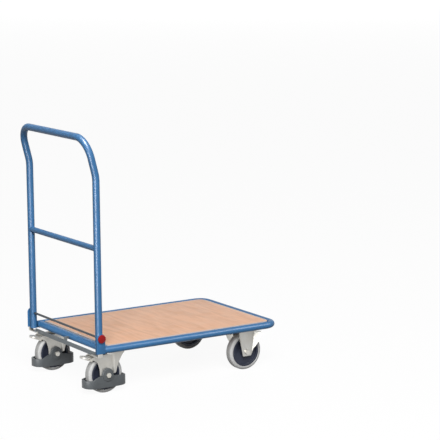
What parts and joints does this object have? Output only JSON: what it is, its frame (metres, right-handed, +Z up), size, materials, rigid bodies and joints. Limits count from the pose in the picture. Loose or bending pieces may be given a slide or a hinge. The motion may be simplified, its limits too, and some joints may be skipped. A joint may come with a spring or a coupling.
{
  "type": "folding platform trolley",
  "caption": "Flat-deck push trolley with a blue tube frame, pale board, folding loop handle with crossbar, fixed front castors and braked swivel rear castors with foot guards.",
  "frame": {"origin": "on the floor under the middle of the trolley's overall length, in its plane of symmetry", "axes": "+X forward along the deck away from the handle, +Y to the pusher's left, +Z up"},
  "size_m": [0.7834, 0.5389, 0.9034],
  "materials": {
    "frame_paint": "smooth mid-blue powder coat",
    "deck_wood": "pale beech-look coated board",
    "rail_paint": "dark grey paint",
    "rod_black": "black oxide",
    "knob_red": "red moulded plastic",
    "cap_black": "black moulded plastic",
    "zinc_sheet": "bright zinc-plated pressed steel",
    "zinc_hardware": "zinc-plated steel",
    "tyre_grey": "light grey non-marking rubber",
    "rim_dark": "dark moulded plastic",
    "bush_white": "natural plain-bearing plastic",
    "guard_grey": "dark grey moulded plastic"
  },
  "bodies": {
    "frame": {"perimeter_tube": "frame_paint", "rear_tube": "frame_paint", "bracket_left": "frame_paint", "bracket_right": "frame_paint", "rear_cross_plate": "frame_paint", "middle_cross_plate": "frame_paint", "front_cross_plate": "frame_paint", "deck_board": "deck_wood", "deck_screws": "zinc_hardware", "castor_bolts": "zinc_hardware", "foot_rail": "rail_paint", "rail_strap": "rail_paint", "rail_tabs": "zinc_sheet", "pivot_rod": "rod_black", "rod_washers": "zinc_hardware", "rod_cap_nut": "zinc_hardware", "kingpins": "zinc_hardware", "swivel_plate_left": "zinc_sheet", "swivel_plate_right": "zinc_sheet", "front_fork_left": "zinc_sheet", "front_fork_right": "zinc_sheet", "front_axle_bolts": "zinc_hardware", "front_axle_nuts": "zinc_hardware", "front_axle_sleeves": "zinc_hardware"},
    "handle": {"handle_tube": "frame_paint", "handle_crossbar": "frame_paint", "pivot_sleeves": "frame_paint", "leg_caps": "cap_black"},
    "knob": {"clamp_knob": "knob_red"},
    "swivel_left": {"swivel_fork_left": "zinc_sheet", "swivel_balls_left": "zinc_hardware", "foot_guard_left": "guard_grey", "rear_axle_bolt_left": "zinc_hardware", "rear_axle_nut_left": "zinc_hardware", "rear_axle_sleeve_left": "zinc_hardware", "brake_pin_left": "zinc_hardware"},
    "brake_left": {"brake_pedal_left": "zinc_sheet", "brake_shoe_left": "zinc_hardware"},
    "wheel_rear_left": {"rear_tyre_left": "tyre_grey", "rear_rim_left": "rim_dark", "rear_bush_left": "bush_white"},
    "wheel_front_left": {"front_tyre_left": "tyre_grey", "front_rim_left": "rim_dark", "front_bush_left": "bush_white"},
    "swivel_right": {"swivel_fork_right": "zinc_sheet", "swivel_balls_right": "zinc_hardware", "foot_guard_right": "guard_grey", "rear_axle_bolt_right": "zinc_hardware", "rear_axle_nut_right": "zinc_hardware", "rear_axle_sleeve_right": "zinc_hardware", "brake_pin_right": "zinc_hardware"},
    "brake_right": {"brake_pedal_right": "zinc_sheet", "brake_shoe_right": "zinc_hardware"},
    "wheel_rear_right": {"rear_tyre_right": "tyre_grey", "rear_rim_right": "rim_dark", "rear_bush_right": "bush_white"},
    "wheel_front_right": {"front_tyre_right": "tyre_grey", "front_rim_right": "rim_dark", "front_bush_right": "bush_white"}
  },
  "joints": [
    {"name": "handle_fold", "type": "hinge", "parent": "frame", "child": "handle", "pos_m": [-0.3465, 0, 0.2075], "axis": [0, 1, 0], "range_deg": [0, 91.5]},
    {"name": "knob_turn", "type": "hinge", "parent": "frame", "child": "knob", "pos_m": [-0.3465, -0.265, 0.2075], "axis": [0, -1, 0], "range_deg": [0, 360]},
    {"name": "swivel_left_turn", "type": "hinge", "parent": "frame", "child": "swivel_left", "pos_m": [-0.263, 0.1895, 0.145], "axis": [0, 0, 1], "continuous": true},
    {"name": "wheel_rear_left_spin", "type": "hinge", "parent": "swivel_left", "child": "wheel_rear_left", "pos_m": [-0.301, 0.1895, 0.0665], "axis": [0, 1, 0], "continuous": true},
    {"name": "brake_left_press", "type": "hinge", "parent": "swivel_left", "child": "brake_left", "pos_m": [-0.335, 0.1895, 0.1294], "axis": [0, -1, 0], "range_deg": [0, 10]},
    {"name": "wheel_front_left_spin", "type": "hinge", "parent": "frame", "child": "wheel_front_left", "pos_m": [0.276, 0.1895, 0.0665], "axis": [0, 1, 0], "continuous": true},
    {"name": "swivel_right_turn", "type": "hinge", "parent": "frame", "child": "swivel_right", "pos_m": [-0.263, -0.1895, 0.145], "axis": [0, 0, 1], "continuous": true},
    {"name": "wheel_rear_right_spin", "type": "hinge", "parent": "swivel_right", "child": "wheel_rear_right", "pos_m": [-0.301, -0.1895, 0.0665], "axis": [0, 1, 0], "continuous": true},
    {"name": "brake_right_press", "type": "hinge", "parent": "swivel_right", "child": "brake_right", "pos_m": [-0.335, -0.1895, 0.1294], "axis": [0, -1, 0], "range_deg": [0, 10]},
    {"name": "wheel_front_right_spin", "type": "hinge", "parent": "frame", "child": "wheel_front_right", "pos_m": [0.276, -0.1895, 0.0665], "axis": [0, 1, 0], "continuous": true}
  ]
}
